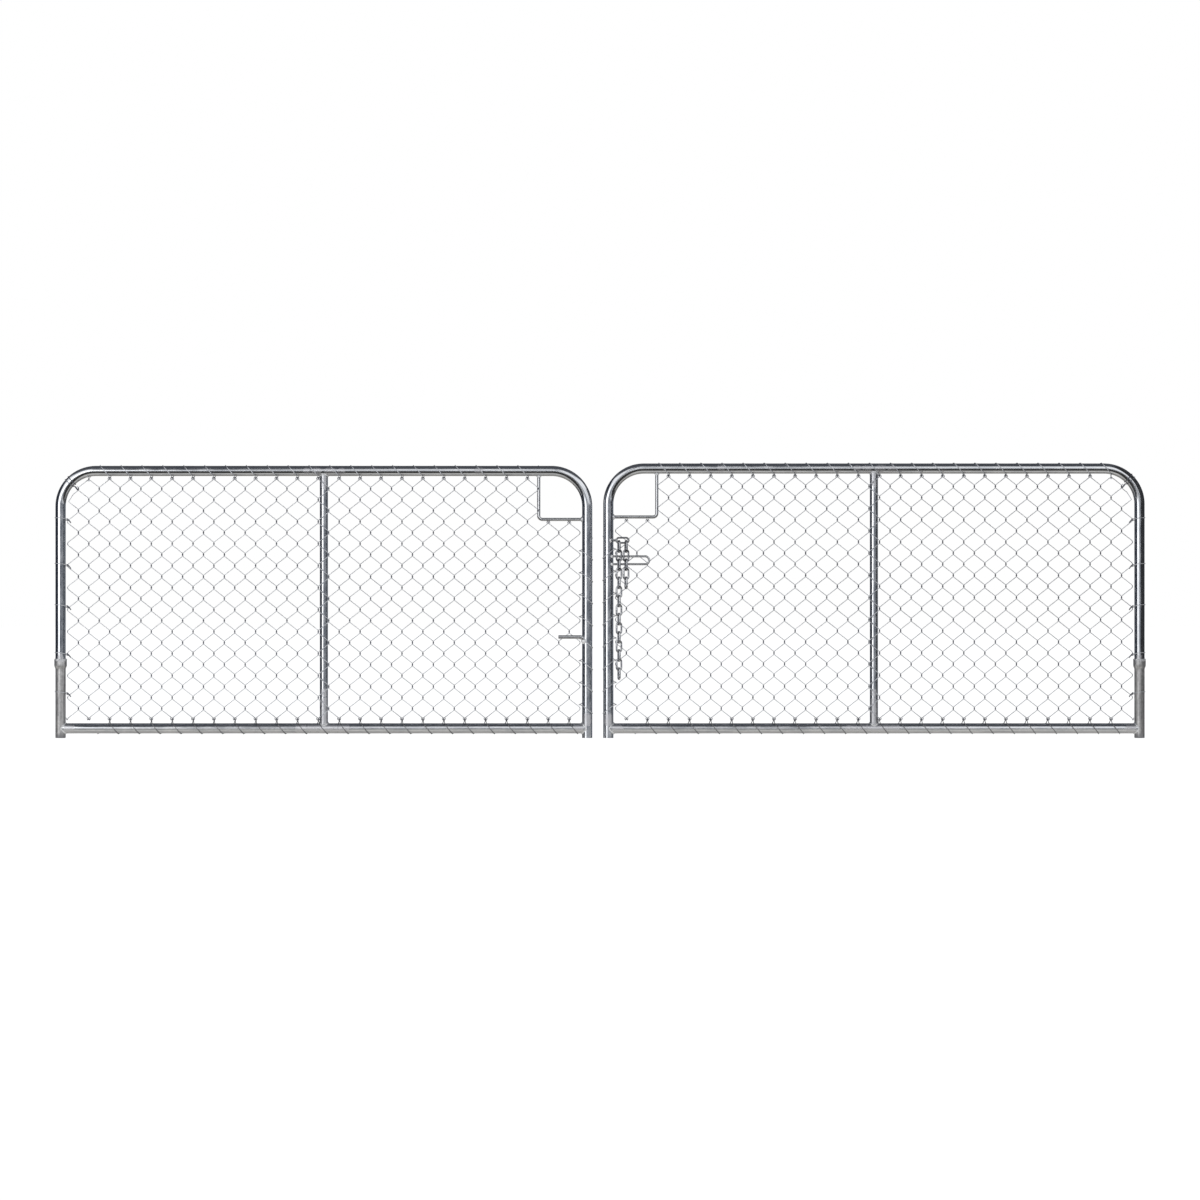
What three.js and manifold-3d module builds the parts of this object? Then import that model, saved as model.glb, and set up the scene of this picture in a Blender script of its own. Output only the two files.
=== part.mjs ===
// A pair of bow-top livestock gates: two mirrored leaves of bent galvanised tube, filled with chain mesh,
// each hung on a pin in the foot of its hinge stile. A chain on the right leaf closes the pair.
//
// Frame: millimetres, +Z up, +X from the left leaf's hinge axis to the right leaf's, and -Y is the front.
// The origin is on the left hinge axis, level with the feet of the stiles.
import * as THREE from 'three';
import { mergeVertices } from 'three/addons/utils/BufferGeometryUtils.js';
import Module from 'manifold-3d';

const wasm = await Module();
wasm.setup();

// ---- Driving dimensions, in millimetres ----

// The leaves, outside to outside.
const leafWidth = { left: 1772, right: 1787 };
const leafHeight = { left: 898, right: 906 };
const leafGap = 36;

// The frame tube and how it is bent and joined.
const tubeOD = 33.7;
const tubeWall = 3.2;
const cornerRadius = 117;
const bottomRailHeight = 31.5;
const stayOD = 26.9;
const stayWall = 2.6;
const weldGap = 0.4;

// The lower length of each hinge stile, whose belled top takes the end of the bow.
const socketOD = 41;
const socketLip = 258;
const socketDepth = 20;
const socketTaper = 7;

// The pin that each hinge stile turns on, up inside its open foot.
const pinClearance = 1.15;
const pinLength = 60;
const pinChamfer = 3;

// The hand hole in each top latch corner, from the axes of the stile and the rail to the axis of the rod.
const handHoleSize = 160;
const cornerRodDiameter = 10.5;
const cornerRodBend = 12;

// The hook on the left latch stile.
const hookDiameter = 12;
const hookReach = 95;
const hookHeight = 333;
const hookMeshGap = 3;
const hookNeck = 19;
const hookDrop = 13;
const hookBend = 9;

// The hairpin keeper on the right latch stile.
const keeperDiameter = 7;
const keeperReach = 138;
const keeperBelowAnchor = 65.5;
const keeperSpread = 25.8;
const keeperMeshGap = 1;

// The mesh: one zig-zag wire follows another, so the panel is two wires thick. It is drawn at a coarser
// pitch than the woven wire, with the same outline and thickness.
const meshWire = 2.5;
const diamondWidth = 69;
const diamondHeight = 73.5;
const meshCoarsening = 2;
const meshSideGap = 8;
const meshTopGap = 6;
const meshBottomGap = 12.5;
const meshRodGap = 3;
const meshStayGap = 1.5;
const lacingWire = 2.5;
const lacingGap = 0.4;
const lacingEndGap = 11;

// The chain.
const chainWire = 6;
const chainWidth = 23;
const chainInnerLength = 30.2;
const chainPlay = 0.3;
const chainLinks = 15;
const tailLinks = 5;
const anchorBelowRod = 77.5;
const chainSwingGap = 1;
const chainToStile = 35;
const strandGap = 0.4;
const lugDiameter = 8;

// How finely round shapes are divided.
const tubeSides = 16;
const boreSides = 12;
const rodSides = 8;
const wireSides = 3;
const bendSteps = 8;
const rodBendSteps = 4;
const lacingStepsPerTurn = 8;
const linkSides = 6;
const linkSteps = 12;
const meshCornerSteps = 4;
const samePlace = 1e-4;

// ---- Worked out from the driving dimensions ----

const tubeR = tubeOD / 2;
const stayR = stayOD / 2;
const cornerRodR = cornerRodDiameter / 2;
const bowEnd = socketLip - socketDepth;
const meshThickness = 2 * meshWire;
const meshRidge = stayR + meshStayGap;
const lacingR = (tubeR + lacingGap + lacingWire / 2) / Math.cos(Math.PI / lacingStepsPerTurn);
const strandSpacing = chainWidth + strandGap;
const chainForward = lacingR + lacingWire / 2 + chainSwingGap + chainWidth / 2;
const linkReach = (chainInnerLength + chainWire) / 2;
const linkPitch = 2 * linkReach - chainWire - chainPlay;
const stileSpacing = {
  left: leafWidth.left - tubeOD,
  right: leafWidth.right - tubeOD,
};
const hingeSpacing = stileSpacing.left + tubeOD + leafGap + stileSpacing.right;

// ---- Materials ----

function metal(color, roughness) {
  return new THREE.MeshStandardMaterial({ color, roughness, metalness: 0.9 });
}

const galvanisedTube = metal(0x9a9ea2, 0.35);
const footTube = metal(0xaeb0ae, 0.6);
const galvanisedRod = metal(0x6f7276, 0.45);
const galvanisedWire = metal(0xc2c5c8, 0.4);
const chainSteel = metal(0x565a5e, 0.45);
const pinSteel = metal(0x8a8c8e, 0.3);

// ---- Solids ----

// A closed geometry as a solid that can be cut and joined.
function solid(geometry) {
  const bare = geometry.clone();
  bare.deleteAttribute('normal');
  bare.deleteAttribute('uv');
  const merged = mergeVertices(bare, samePlace);
  const mesh = new wasm.Mesh({
    numProp: 3,
    vertProperties: new Float32Array(merged.attributes.position.array),
    triVerts: new Uint32Array(merged.index.array),
  });
  return new wasm.Manifold(mesh);
}

// A solid as a geometry.
function geometryOf(body) {
  const mesh = body.getMesh();
  const geometry = new THREE.BufferGeometry();
  geometry.setAttribute('position', new THREE.BufferAttribute(mesh.vertProperties, 3));
  geometry.setIndex(new THREE.BufferAttribute(mesh.triVerts, 1));
  return geometry;
}

// What is left of a geometry once each of the others is taken out of it.
function trim(geometry, ...cutters) {
  let body = solid(geometry);
  for (const cutter of cutters) {
    body = body.subtract(solid(cutter));
  }
  return geometryOf(body);
}

// The same shape on the other side of the hinge axis.
function mirrored(geometry) {
  const copy = mergeVertices(geometry.clone(), samePlace);
  copy.scale(-1, 1, 1);
  const index = Array.from(copy.index.array);
  for (let i = 0; i < index.length; i += 3) {
    [index[i], index[i + 1]] = [index[i + 1], index[i]];
  }
  copy.setIndex(index);
  return copy;
}

function polygon(radius, sides) {
  const points = [];
  for (let i = 0; i < sides; i += 1) {
    const angle = (2 * Math.PI * i) / sides;
    points.push(new THREE.Vector2(radius * Math.cos(angle), radius * Math.sin(angle)));
  }
  return points;
}

function rodSection(radius, sides) {
  return new THREE.Shape(polygon(radius, sides));
}

function tubeSection(outerR, wall) {
  const section = rodSection(outerR, tubeSides);
  section.holes.push(new THREE.Path(polygon(outerR - wall, boreSides)));
  return section;
}

// A rod's centre line through its corners, rounded at each bend. It is divided only where it bends.
class BentPath extends THREE.Curve {
  constructor(corners, bendRadius, steps) {
    super();
    this.points = [];
    this.tangents = [];
    const last = corners.length - 1;
    this.addPoint(corners[0], corners[1].clone().sub(corners[0]).normalize());
    for (let i = 1; i < last; i += 1) {
      this.addBend(corners[i - 1], corners[i], corners[i + 1], bendRadius, steps);
    }
    this.addPoint(corners[last], corners[last].clone().sub(corners[last - 1]).normalize());
  }

  addPoint(point, tangent) {
    const before = this.points.at(-1);
    if (before && before.distanceTo(point) < samePlace) {
      return;
    }
    this.points.push(point);
    this.tangents.push(tangent);
  }

  addBend(before, corner, after, radius, steps) {
    const into = corner.clone().sub(before).normalize();
    const out = after.clone().sub(corner).normalize();
    const turn = into.angleTo(out);
    const axis = into.clone().cross(out).normalize();
    const start = corner.clone().addScaledVector(into, -radius * Math.tan(turn / 2));
    const spoke = into.clone().cross(axis).multiplyScalar(radius);
    const centre = start.clone().sub(spoke);
    for (let k = 0; k <= steps; k += 1) {
      const angle = (turn * k) / steps;
      const point = spoke.clone().applyAxisAngle(axis, angle).add(centre);
      this.addPoint(point, into.clone().applyAxisAngle(axis, angle));
    }
  }

  get steps() {
    return this.points.length - 1;
  }

  getPointAt(u) {
    return this.points[Math.round(u * this.steps)].clone();
  }

  getTangentAt(u) {
    return this.tangents[Math.round(u * this.steps)].clone();
  }
}

function bentTube(section, corners, bendRadius, steps) {
  const path = new BentPath(corners, bendRadius, steps);
  return new THREE.ExtrudeGeometry(section, { extrudePath: path, steps: path.steps });
}

function straightTube(section, from, to) {
  return new THREE.ExtrudeGeometry(section, { extrudePath: new THREE.LineCurve3(from, to), steps: 1 });
}

// A cylinder around a straight line, for trimming what is welded to a tube there.
function envelope(radius, from, to) {
  return straightTube(rodSection(radius, tubeSides), from, to);
}

function vec(x, y, z) {
  return new THREE.Vector3(x, y, z);
}

// A wire wound along a tube. It is on the side of the tube that "side" points to where t is phaseAt.
class WoundPath extends THREE.Curve {
  constructor(from, to, side, phaseAt, pitch) {
    super();
    this.from = from;
    this.length = from.distanceTo(to);
    this.along = to.clone().sub(from).normalize();
    this.side = side;
    this.phaseAt = phaseAt;
    this.pitch = pitch;
  }

  getPoint(t, target = new THREE.Vector3()) {
    const distance = t * this.length;
    const angle = (2 * Math.PI * (distance - this.phaseAt)) / this.pitch;
    const spoke = this.side.clone().applyAxisAngle(this.along, angle);
    return target.copy(this.from).addScaledVector(this.along, distance).addScaledVector(spoke, lacingR);
  }
}

function lacing(from, to, side, phaseAt, pitch) {
  const path = new WoundPath(from, to, side, phaseAt, pitch);
  const steps = Math.round((path.length / pitch) * lacingStepsPerTurn);
  const section = rodSection(lacingWire / 2, wireSides);
  return new THREE.ExtrudeGeometry(section, { extrudePath: path, steps });
}

// ---- The object ----

const gates = new THREE.Group();

// Every piece of a leaf is drawn from its hinge axis towards its latch stile. The right leaf is mirrored.
function addTo(side, name, geometry, material) {
  const shape = side === 'left' ? geometry : mirrored(geometry);
  const mesh = new THREE.Mesh(shape, material);
  mesh.name = name;
  mesh.position.x = side === 'left' ? 0 : hingeSpacing;
  gates.add(mesh);
}

// The levels and places that the pieces of one leaf share.
function layOut(side) {
  const latchX = stileSpacing[side];
  return {
    side,
    latchX,
    railZ: leafHeight[side] - tubeR,
    stayX: latchX / 2,
    rodX: latchX - handHoleSize,
    rodZ: leafHeight[side] - tubeR - handHoleSize,
    anchorZ: leafHeight[side] - tubeR - handHoleSize - anchorBelowRod,
  };
}

// The frame, as the space that it fills with the gap that a weld leaves, for trimming what meets it.
function latchStileEnvelope(leaf) {
  return envelope(tubeR + weldGap, vec(leaf.latchX, 0, -tubeOD), vec(leaf.latchX, 0, leaf.railZ + tubeOD));
}

function railEnvelope(leaf, z) {
  return envelope(tubeR + weldGap, vec(-tubeOD, 0, z), vec(leaf.latchX + tubeOD, 0, z));
}

// One tube makes the upper hinge stile, the top rail and the latch stile.
function addBow(leaf) {
  const corners = [
    vec(0, 0, bowEnd + weldGap),
    vec(0, 0, leaf.railZ),
    vec(leaf.latchX, 0, leaf.railZ),
    vec(leaf.latchX, 0, 0),
  ];
  const shape = bentTube(tubeSection(tubeR, tubeWall), corners, cornerRadius, bendSteps);
  addTo(leaf.side, `${leaf.side}_bow_tube`, shape, galvanisedTube);
}

// The lower hinge stile has an open foot for the pin and a bell at its top for the end of the bow.
function addHingeFoot(leaf) {
  const boreR = tubeR - tubeWall;
  const bellR = socketOD / 2;
  const profile = [
    [boreR, 0],
    [tubeR, 0],
    [tubeR, bowEnd - socketTaper],
    [bellR, bowEnd],
    [bellR, socketLip],
    [tubeR + weldGap, socketLip],
    [tubeR + weldGap, bowEnd],
    [boreR, bowEnd],
    [boreR, 0],
  ];
  const points = profile.map(([radius, height]) => new THREE.Vector2(radius, height));
  const shape = new THREE.LatheGeometry(points, tubeSides).rotateX(Math.PI / 2);
  addTo(leaf.side, `${leaf.side}_hinge_stile_foot`, shape, footTube);
}

function addPin(side) {
  const pinR = tubeR - tubeWall - pinClearance;
  const profile = [
    [0, 0],
    [pinR, 0],
    [pinR, pinLength - pinChamfer],
    [pinR - pinChamfer, pinLength],
    [0, pinLength],
  ];
  const points = profile.map(([radius, height]) => new THREE.Vector2(radius, height));
  const shape = new THREE.LatheGeometry(points, tubeSides).rotateX(Math.PI / 2);
  addTo(side, `${side}_hinge_pin`, shape, pinSteel);
}

// The bottom rail is coped to both stiles.
function addBottomRail(leaf) {
  const rail = straightTube(
    tubeSection(tubeR, tubeWall),
    vec(0, 0, bottomRailHeight),
    vec(leaf.latchX, 0, bottomRailHeight),
  );
  const hingeStile = envelope(tubeR + weldGap, vec(0, 0, -tubeOD), vec(0, 0, bowEnd));
  const shape = trim(rail, hingeStile, latchStileEnvelope(leaf));
  addTo(leaf.side, `${leaf.side}_bottom_rail`, shape, galvanisedTube);
}

// The mid stay is a lighter tube, coped to both rails.
function addStay(leaf) {
  const tube = straightTube(
    tubeSection(stayR, stayWall),
    vec(leaf.stayX, 0, bottomRailHeight),
    vec(leaf.stayX, 0, leaf.railZ),
  );
  const shape = trim(tube, railEnvelope(leaf, bottomRailHeight), railEnvelope(leaf, leaf.railZ));
  addTo(leaf.side, `${leaf.side}_mid_stay`, shape, galvanisedTube);
}

// A bent rod frames the hand hole, from the top rail to the latch stile.
function addCornerRod(leaf) {
  const corners = [
    vec(leaf.rodX, 0, leaf.railZ),
    vec(leaf.rodX, 0, leaf.rodZ),
    vec(leaf.latchX, 0, leaf.rodZ),
  ];
  const rod = bentTube(rodSection(cornerRodR, rodSides), corners, cornerRodBend, rodBendSteps);
  const shape = trim(rod, railEnvelope(leaf, leaf.railZ), latchStileEnvelope(leaf));
  addTo(leaf.side, `${leaf.side}_hand_hole_rod`, shape, galvanisedRod);
}

// The outline of the mesh, with its inner margin drawn in by inset all round.
function meshOutline(leaf, inset) {
  const low = bottomRailHeight + tubeR + meshBottomGap + inset;
  const high = leaf.railZ - tubeR - meshTopGap - inset;
  const near = tubeR + meshSideGap + inset;
  const far = leaf.latchX - tubeR - meshSideGap - inset;
  const rodEdge = cornerRodR + meshRodGap + inset;
  const outline = new THREE.Shape();
  outline.moveTo(near, low);
  outline.lineTo(far, low);
  outline.lineTo(far, leaf.rodZ - rodEdge);
  outline.lineTo(leaf.rodX - rodEdge, leaf.rodZ - rodEdge);
  outline.lineTo(leaf.rodX - rodEdge, high);
  const arcRadius = Math.min(cornerRadius - near, cornerRadius - leaf.railZ + high);
  outline.lineTo(near + arcRadius, high);
  outline.absarc(near + arcRadius, high - arcRadius, arcRadius, Math.PI / 2, Math.PI, false);
  outline.closePath();
  return outline;
}

// The openings of the mesh, on a staggered grid that has a line of crossings along the mid stay.
function meshDiamonds(leaf) {
  const width = diamondWidth * meshCoarsening;
  const height = diamondHeight * meshCoarsening;
  const low = bottomRailHeight + tubeR + meshBottomGap;
  const slope = Math.hypot(width, height);
  const halfWidth = width / 2 - (meshWire * slope) / (2 * height);
  const halfHeight = height / 2 - (meshWire * slope) / (2 * width);
  const columns = Math.ceil(leaf.latchX / width);
  const rows = Math.ceil((2 * leafHeight[leaf.side]) / height);
  const diamonds = [];
  for (let column = -columns; column <= columns; column += 1) {
    for (let row = 0; row <= rows; row += 1) {
      const x = leaf.stayX + (column + (row % 2 === 0 ? 0.5 : 0)) * width;
      const z = low + (row * height) / 2;
      diamonds.push(new THREE.Shape([
        new THREE.Vector2(x - halfWidth, z),
        new THREE.Vector2(x, z - halfHeight),
        new THREE.Vector2(x + halfWidth, z),
        new THREE.Vector2(x, z + halfHeight),
      ]));
    }
  }
  return diamonds;
}

// A flat outline in X and Z as a block that runs from front to back through the whole leaf.
function block(outlines) {
  const depth = 4 * tubeOD;
  const shape = new THREE.ExtrudeGeometry(outlines, { depth, bevelEnabled: false, curveSegments: meshCornerSteps });
  return solid(shape.rotateX(Math.PI / 2).translate(0, depth / 2, 0));
}

// How far forward of the leaf's middle plane the front of the mesh is, so far in from the latch stile.
function meshFront(leaf, fromLatch) {
  return meshRidge * (fromLatch / leaf.stayX) + meshThickness;
}

// The mesh lies in the plane of the frame at its edges, and stands forward over the front of the mid stay.
function addMesh(leaf) {
  const roof = new THREE.Shape([
    new THREE.Vector2(0, 0),
    new THREE.Vector2(0, -meshThickness),
    new THREE.Vector2(leaf.stayX, -meshRidge - meshThickness),
    new THREE.Vector2(leaf.latchX, -meshThickness),
    new THREE.Vector2(leaf.latchX, 0),
    new THREE.Vector2(leaf.stayX, -meshRidge),
  ]);
  const sheet = solid(new THREE.ExtrudeGeometry(roof, { depth: leaf.railZ, bevelEnabled: false }));
  const openings = block(meshDiamonds(leaf)).intersect(block(meshOutline(leaf, meshWire)));
  const shape = geometryOf(sheet.intersect(block(meshOutline(leaf, 0))).subtract(openings));
  addTo(leaf.side, `${leaf.side}_mesh`, shape, galvanisedWire);
}

// Lacing wire winds along the tubes that the edges of the mesh are tied to. It keeps to the far side of
// each tube where another piece is welded to it.
function addLacing(leaf) {
  const acrossPitch = diamondWidth * meshCoarsening;
  const upPitch = diamondHeight * meshCoarsening;
  const topFrom = vec(cornerRadius, 0, leaf.railZ);
  const topTo = vec(leaf.rodX - lacingEndGap, 0, leaf.railZ);
  const top = lacing(topFrom, topTo, vec(0, 0, 1), leaf.stayX - topFrom.x, acrossPitch);
  addTo(leaf.side, `${leaf.side}_top_lacing`, top, galvanisedWire);

  const bottomFrom = vec(tubeR + lacingEndGap, 0, bottomRailHeight);
  const bottomTo = vec(leaf.latchX - tubeR - lacingEndGap, 0, bottomRailHeight);
  const bottom = lacing(bottomFrom, bottomTo, vec(0, 0, -1), leaf.stayX - bottomFrom.x, acrossPitch);
  addTo(leaf.side, `${leaf.side}_bottom_lacing`, bottom, galvanisedWire);

  const latchFrom = vec(leaf.latchX, 0, bottomRailHeight + tubeR + lacingEndGap);
  const latchTo = vec(leaf.latchX, 0, leaf.rodZ - lacingEndGap);
  const welded = leaf.side === 'left' ? hookHeight - hookDrop / 2 : leaf.anchorZ - keeperBelowAnchor;
  const latch = lacing(latchFrom, latchTo, vec(1, 0, 0), welded - latchFrom.z, upPitch);
  addTo(leaf.side, `${leaf.side}_latch_lacing`, latch, galvanisedWire);

  const hingeFrom = vec(0, 0, socketLip + lacingEndGap);
  const hingeTo = vec(0, 0, leaf.railZ - cornerRadius);
  const hinge = lacing(hingeFrom, hingeTo, vec(1, 0, 0), 0, upPitch);
  addTo(leaf.side, `${leaf.side}_hinge_lacing`, hinge, galvanisedWire);
}

// The hook is a short rod across the front of the mesh, whose near end turns down and back to the stile.
function addHook(leaf) {
  const forward = meshFront(leaf, hookReach) + hookMeshGap + hookDiameter / 2;
  const corners = [
    vec(leaf.latchX - hookReach, -forward, hookHeight),
    vec(leaf.latchX - hookNeck, -forward, hookHeight),
    vec(leaf.latchX, 0, hookHeight - 2 * hookDrop),
  ];
  const rod = bentTube(rodSection(hookDiameter / 2, rodSides), corners, hookBend, rodBendSteps);
  addTo(leaf.side, `${leaf.side}_chain_hook`, trim(rod, latchStileEnvelope(leaf)), galvanisedRod);
}

// The keeper is a hairpin of rod, with both ends on the stile and its slot level.
function addKeeper(leaf) {
  const forward = meshFront(leaf, keeperReach) + keeperMeshGap + keeperDiameter / 2;
  const level = leaf.anchorZ - keeperBelowAnchor;
  const legUp = keeperSpread / 2;
  const endX = leaf.latchX - keeperReach + keeperDiameter / 2;
  const corners = [
    vec(leaf.latchX, -forward, level + legUp),
    vec(endX, -forward, level + legUp),
    vec(endX, -forward, level - legUp),
    vec(leaf.latchX, -forward, level - legUp),
  ];
  const rod = bentTube(rodSection(keeperDiameter / 2, rodSides), corners, legUp, rodBendSteps);
  addTo(leaf.side, `${leaf.side}_chain_keeper`, trim(rod, latchStileEnvelope(leaf)), galvanisedRod);
}

// A chain link, face on and upright: a ring of wire pulled out to its length.
function linkShape(wire, width, innerLength) {
  const step = (2 * Math.PI) / linkSteps;
  const ringR = (width - wire) / 2 / Math.cos(step / 2);
  const shape = new THREE.TorusGeometry(ringR, wire / 2, linkSides, linkSteps).rotateZ(step / 2);
  const stretch = (innerLength - (width - 2 * wire)) / 2;
  const places = shape.attributes.position;
  for (let i = 0; i < places.count; i += 1) {
    places.setY(i, places.getY(i) + Math.sign(places.getY(i)) * stretch);
  }
  return shape.rotateX(Math.PI / 2);
}

// The chain hangs in two strands from a long link that lies level, welded to the stile by a lug.
function addChain(leaf) {
  const mainX = leaf.latchX - chainToStile;
  const tailX = mainX - strandSpacing;
  const anchorX = (mainX + tailX) / 2;
  const anchorInner = strandSpacing + chainWidth - 2 * chainWire;
  const placeAnchor = (shape) => shape.rotateY(Math.PI / 2).translate(anchorX, -chainForward, leaf.anchorZ);
  const anchor = placeAnchor(linkShape(chainWire, chainWidth, anchorInner));
  addTo(leaf.side, 'chain_anchor_link', anchor, chainSteel);

  const lugEnd = vec(mainX + chainWidth / 2 - chainWire / 2, -chainForward, leaf.anchorZ);
  const lug = straightTube(rodSection(lugDiameter / 2, rodSides), vec(leaf.latchX, 0, leaf.anchorZ), lugEnd);
  const clearLink = placeAnchor(
    linkShape(chainWire + 2 * weldGap, chainWidth + 2 * weldGap, anchorInner - 2 * weldGap),
  );
  addTo(leaf.side, 'chain_lug', trim(lug, latchStileEnvelope(leaf), clearLink), galvanisedRod);

  const legZ = leaf.anchorZ - (chainWidth - chainWire) / 2;
  const firstZ = legZ + chainWire + chainPlay - linkReach;
  addStrand(leaf, 'chain_link', chainLinks, mainX, firstZ);
  addStrand(leaf, 'tail_link', tailLinks, tailX, firstZ);
}

// Every other link of a strand is turned a quarter turn. The first is edge on.
function addStrand(leaf, name, count, x, firstZ) {
  for (let i = 0; i < count; i += 1) {
    const link = linkShape(chainWire, chainWidth, chainInnerLength);
    if (i % 2 === 0) {
      link.rotateZ(Math.PI / 2);
    }
    link.translate(x, -chainForward, firstZ - i * linkPitch);
    addTo(leaf.side, `${name}_${String(i + 1).padStart(2, '0')}`, link, chainSteel);
  }
}

for (const side of ['left', 'right']) {
  const leaf = layOut(side);
  addPin(side);
  addBow(leaf);
  addHingeFoot(leaf);
  addBottomRail(leaf);
  addStay(leaf);
  addCornerRod(leaf);
  addMesh(leaf);
  addLacing(leaf);
}
addHook(layOut('left'));
addKeeper(layOut('right'));
addChain(layOut('right'));

export default gates;
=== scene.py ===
import math

import bpy
import numpy as np
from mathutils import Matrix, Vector, noise


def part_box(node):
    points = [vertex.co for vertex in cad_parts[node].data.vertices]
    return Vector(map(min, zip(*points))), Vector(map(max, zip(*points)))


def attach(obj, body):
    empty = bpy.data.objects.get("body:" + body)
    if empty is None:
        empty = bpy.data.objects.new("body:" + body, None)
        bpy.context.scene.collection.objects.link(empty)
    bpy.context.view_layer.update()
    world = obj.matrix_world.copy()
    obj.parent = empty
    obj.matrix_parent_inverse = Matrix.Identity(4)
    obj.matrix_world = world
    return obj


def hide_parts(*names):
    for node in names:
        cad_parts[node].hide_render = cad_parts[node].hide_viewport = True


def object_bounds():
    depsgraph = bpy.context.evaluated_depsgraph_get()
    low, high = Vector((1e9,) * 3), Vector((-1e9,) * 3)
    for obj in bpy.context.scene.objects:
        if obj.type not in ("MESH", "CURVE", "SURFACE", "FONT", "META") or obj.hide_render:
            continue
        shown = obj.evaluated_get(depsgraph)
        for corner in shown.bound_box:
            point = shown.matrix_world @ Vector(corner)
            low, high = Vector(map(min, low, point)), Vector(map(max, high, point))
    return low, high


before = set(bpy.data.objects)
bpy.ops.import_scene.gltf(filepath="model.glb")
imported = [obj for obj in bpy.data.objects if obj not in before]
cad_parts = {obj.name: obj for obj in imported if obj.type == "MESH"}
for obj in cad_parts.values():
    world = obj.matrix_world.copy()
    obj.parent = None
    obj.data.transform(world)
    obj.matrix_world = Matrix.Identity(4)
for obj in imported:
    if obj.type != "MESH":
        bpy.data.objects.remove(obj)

cad_box = [list(corner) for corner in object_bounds()]

# ---------------------------------------------------------------------------------------------------
# The camera stands square to the front of the closed pair, far enough back that the leaves look flat.
# It looks at the middle of the pair, with a wide margin all round.
# ---------------------------------------------------------------------------------------------------
middle = [(low + high) / 2 for low, high in zip(*cad_box)]
CAMERA_DISTANCE = 12.0
VIEW_WIDTH = 3.961

lens = bpy.data.cameras.new("front_view")
lens.sensor_width = 36.0
lens.lens = lens.sensor_width * CAMERA_DISTANCE / VIEW_WIDTH
lens.clip_end = 200.0
camera = bpy.data.objects.new("front_view", lens)
camera.location = (middle[0], -CAMERA_DISTANCE, middle[2])
camera.rotation_euler = (math.pi / 2, 0, 0)
bpy.context.collection.objects.link(camera)
bpy.context.scene.camera = camera
bpy.context.scene.view_settings.view_transform = "Standard"

# ---------------------------------------------------------------------------------------------------
# The studio is white to the eye, with one soft lamp. The zinc reflects an open yard: beige ground, a dark
# hedge, a bright low sky under a dark high one, slate at eye level on the right, and a dark back. Two
# cards on the floor and one at the right are seen only in the zinc.
# ---------------------------------------------------------------------------------------------------
yard = bpy.data.worlds.new("yard")
bpy.context.scene.world = yard
yard.use_nodes = True
yard_nodes, yard_links = yard.node_tree.nodes, yard.node_tree.links
yard_nodes.clear()
towards = yard_nodes.new("ShaderNodeTexCoord")
split_towards = yard_nodes.new("ShaderNodeSeparateXYZ")
yard_links.new(towards.outputs["Generated"], split_towards.inputs[0])


def sky_ramp(axis, stops):
    """The colours met along one axis of the yard, from -1 to 1."""
    place = yard_nodes.new("ShaderNodeMapRange")
    place.inputs["From Min"].default_value = -1.0
    yard_links.new(split_towards.outputs[axis], place.inputs["Value"])
    ramp = yard_nodes.new("ShaderNodeValToRGB")
    ramp.color_ramp.elements.remove(ramp.color_ramp.elements[0])
    for number, (at, shade) in enumerate(stops):
        stop = ramp.color_ramp.elements[0] if number == 0 else ramp.color_ramp.elements.new((at + 1) / 2)
        stop.position = (at + 1) / 2
        stop.color = (*shade, 1)
    yard_links.new(place.outputs[0], ramp.inputs[0])
    return ramp.outputs[0]


def sky_mix(share, first, second):
    """Two parts of the sky joined by a third as the mask. The second part may be one plain colour."""
    mix = yard_nodes.new("ShaderNodeMix")
    mix.data_type = "RGBA"
    yard_links.new(share, mix.inputs["Factor"])
    yard_links.new(first, mix.inputs["A"])
    if isinstance(second, tuple):
        mix.inputs["B"].default_value = (*second, 1)
    else:
        yard_links.new(second, mix.inputs["B"])
    return mix.outputs["Result"]


GROUND = (0.44, 0.43, 0.41)
HEDGE = (0.034, 0.033, 0.032)
LOW_SKY = (0.88, 0.885, 0.90)
SLATE = (0.105, 0.117, 0.138)
HIGH_SKY = (0.066, 0.070, 0.080)
DARK_SIDE = (0.020, 0.024, 0.034)
NEAR_EARTH, FAR_EARTH = (0.30, 0.285, 0.26), (0.16, 0.155, 0.145)
NONE, ALL = (0, 0, 0), (1, 1, 1)
ground_stops = [(-1.0, GROUND), (-0.82, GROUND), (-0.75, HEDGE), (-0.16, HEDGE), (-0.09, LOW_SKY)]
open_sky = sky_ramp("Z", ground_stops + [(0.64, LOW_SKY), (0.74, HIGH_SKY), (1.0, HIGH_SKY)])
shaded_sky = sky_ramp("Z", ground_stops + [(0.10, LOW_SKY), (0.36, HIGH_SKY), (1.0, HIGH_SKY)])
openings = sky_ramp("X", [
    (-0.19, ALL), (-0.15, NONE), (-0.09, NONE), (-0.06, ALL), (0.0, ALL), (0.015, NONE), (0.06, NONE), (0.085, ALL),
])
slate_level = sky_ramp("Z", [(-0.09, NONE), (-0.05, ALL), (0.05, ALL), (0.09, NONE)])
slate_side = sky_ramp("X", [(-0.30, NONE), (-0.10, ALL)])
slate_part = yard_nodes.new("ShaderNodeMix")
slate_part.data_type = "RGBA"
slate_part.blend_type = "MULTIPLY"
slate_part.inputs["Factor"].default_value = 1.0
yard_links.new(slate_level, slate_part.inputs["A"])
yard_links.new(slate_side, slate_part.inputs["B"])
behind = sky_ramp("Y", [(-0.16, NONE), (-0.02, ALL)])
dark_back = sky_ramp("Z", [
    (-1.0, NEAR_EARTH), (-0.3, FAR_EARTH), (-0.1, HEDGE), (-0.06, SLATE), (0.06, SLATE), (0.1, HIGH_SKY),
])
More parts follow.
